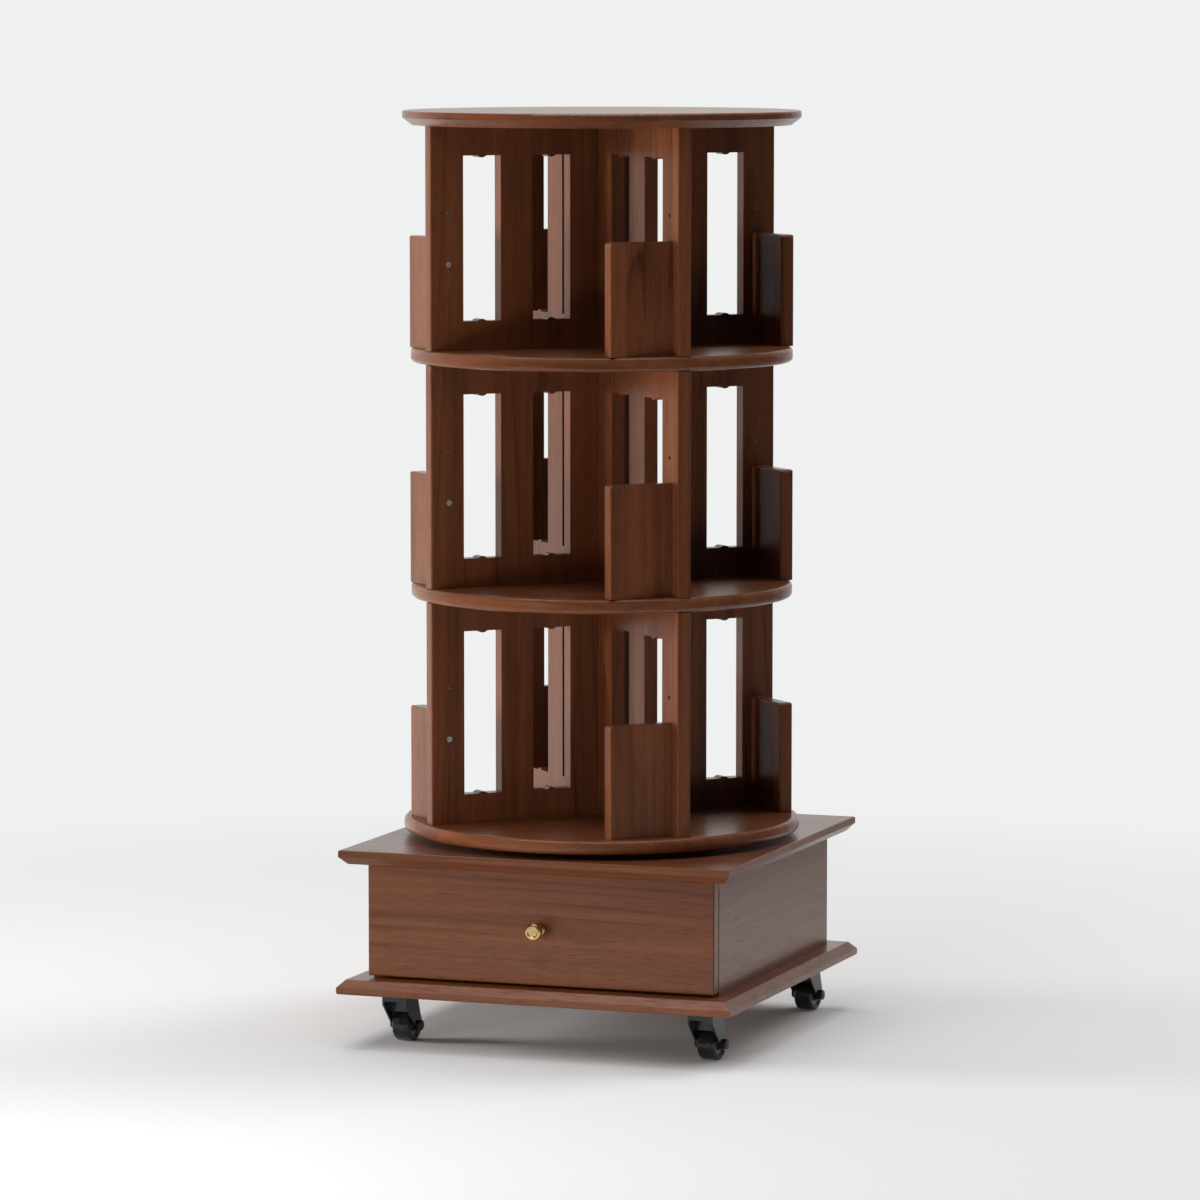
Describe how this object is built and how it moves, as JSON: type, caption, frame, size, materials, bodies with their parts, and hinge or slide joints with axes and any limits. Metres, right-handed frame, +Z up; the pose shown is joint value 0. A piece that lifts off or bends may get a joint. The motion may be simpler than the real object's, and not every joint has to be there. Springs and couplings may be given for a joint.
{
  "type": "revolving bookcase",
  "caption": "Round revolving bookcase: open tiers of crossed slotted panels with book stops, turning on a square drawer base with swivel casters.",
  "frame": {"origin": "on the floor, on the turning axis of the carousel, which is the middle of the square base", "axes": "+Z up along the turning axis; the drawer front faces -Y and opens towards -Y; +X to the right of someone who faces the drawer"},
  "size_m": [0.517, 0.517, 1.163],
  "materials": {
    "walnut_wood": "walnut-stained open-grained hardwood under satin varnish",
    "beech_wood": "plain light hardwood, clear lacquer",
    "plywood": "sanded light plywood",
    "dowel_wood": "plain fluted-free light dowels",
    "brass_knob": "satin brushed brass",
    "zinc_screw": "bright zinc plate",
    "turntable_steel": "zinc-plated pressed steel",
    "ball_steel": "polished hardened steel",
    "caster_metal": "black gloss enamel on pressed steel",
    "caster_bolt": "black oxide with a grey sheen",
    "caster_wheel": "grey nylon core with a smooth black tread"
  },
  "bodies": {
    "base": {"base_top": "walnut_wood", "base_bottom": "walnut_wood", "base_side_left": "walnut_wood", "base_side_right": "walnut_wood", "base_back": "walnut_wood", "runner_left": "beech_wood", "runner_right": "beech_wood", "turntable_lower_ring": "turntable_steel", "turntable_balls": "ball_steel", "base_screws": "zinc_screw", "base_dowels": "dowel_wood", "caster_front_left_plate": "caster_metal", "caster_front_right_plate": "caster_metal", "caster_back_left_plate": "caster_metal", "caster_back_right_plate": "caster_metal"},
    "carousel": {"top_disc": "walnut_wood", "upper_shelf": "walnut_wood", "lower_shelf": "walnut_wood", "bottom_disc": "walnut_wood", "lower_panel_a": "walnut_wood", "lower_panel_b": "walnut_wood", "middle_panel_a": "walnut_wood", "middle_panel_b": "walnut_wood", "upper_panel_a": "walnut_wood", "upper_panel_b": "walnut_wood", "lower_stop_right": "walnut_wood", "lower_stop_back": "walnut_wood", "lower_stop_left": "walnut_wood", "lower_stop_front": "walnut_wood", "middle_stop_right": "walnut_wood", "middle_stop_back": "walnut_wood", "middle_stop_left": "walnut_wood", "middle_stop_front": "walnut_wood", "upper_stop_right": "walnut_wood", "upper_stop_back": "walnut_wood", "upper_stop_left": "walnut_wood", "upper_stop_front": "walnut_wood", "turntable_upper_ring": "turntable_steel", "stop_screws": "zinc_screw", "disc_screws": "zinc_screw", "case_dowels": "dowel_wood"},
    "drawer": {"drawer_front": "walnut_wood", "drawer_side_left": "beech_wood", "drawer_side_right": "beech_wood", "drawer_back": "beech_wood", "drawer_bottom": "plywood", "knob": "brass_knob", "knob_screw": "zinc_screw"},
    "caster_front_left_swivel_body": {"caster_front_left_fork": "caster_metal", "caster_front_left_axle": "caster_bolt"},
    "caster_front_left_wheel_body": {"caster_front_left_wheel": "caster_wheel"},
    "caster_front_right_swivel_body": {"caster_front_right_fork": "caster_metal", "caster_front_right_axle": "caster_bolt"},
    "caster_front_right_wheel_body": {"caster_front_right_wheel": "caster_wheel"},
    "caster_back_left_swivel_body": {"caster_back_left_fork": "caster_metal", "caster_back_left_axle": "caster_bolt"},
    "caster_back_left_wheel_body": {"caster_back_left_wheel": "caster_wheel"},
    "caster_back_right_swivel_body": {"caster_back_right_fork": "caster_metal", "caster_back_right_axle": "caster_bolt"},
    "caster_back_right_wheel_body": {"caster_back_right_wheel": "caster_wheel"}
  },
  "joints": [
    {"name": "carousel_spin", "type": "hinge", "parent": "base", "child": "carousel", "pos_m": [0, 0, 0.257], "axis": [0, 0, 1], "continuous": true},
    {"name": "drawer_slide", "type": "slide", "parent": "base", "child": "drawer", "axis": [0, -1, 0], "range_m": [0, 0.3]},
    {"name": "caster_front_left_swivel", "type": "hinge", "parent": "base", "child": "caster_front_left_swivel_body", "pos_m": [-0.202, -0.194, 0.062], "axis": [0, 0, 1], "continuous": true},
    {"name": "caster_front_left_roll", "type": "hinge", "parent": "caster_front_left_swivel_body", "child": "caster_front_left_wheel_body", "pos_m": [-0.19965, -0.1671, 0.0205], "axis": [0.9962, -0.0872, 0], "continuous": true},
    {"name": "caster_front_right_swivel", "type": "hinge", "parent": "base", "child": "caster_front_right_swivel_body", "pos_m": [0.202, -0.194, 0.062], "axis": [0, 0, 1], "continuous": true},
    {"name": "caster_front_right_roll", "type": "hinge", "parent": "caster_front_right_swivel_body", "child": "caster_front_right_wheel_body", "pos_m": [0.20435, -0.1671, 0.0205], "axis": [0.9962, -0.0872, 0], "continuous": true},
    {"name": "caster_back_left_swivel", "type": "hinge", "parent": "base", "child": "caster_back_left_swivel_body", "pos_m": [-0.202, 0.194, 0.062], "axis": [0, 0, 1], "continuous": true},
    {"name": "caster_back_left_roll", "type": "hinge", "parent": "caster_back_left_swivel_body", "child": "caster_back_left_wheel_body", "pos_m": [-0.19965, 0.2209, 0.0205], "axis": [0.9962, -0.0872, 0], "continuous": true},
    {"name": "caster_back_right_swivel", "type": "hinge", "parent": "base", "child": "caster_back_right_swivel_body", "pos_m": [0.202, 0.194, 0.062], "axis": [0, 0, 1], "continuous": true},
    {"name": "caster_back_right_roll", "type": "hinge", "parent": "caster_back_right_swivel_body", "child": "caster_back_right_wheel_body", "pos_m": [0.20435, 0.2209, 0.0205], "axis": [0.9962, -0.0872, 0], "continuous": true}
  ]
}
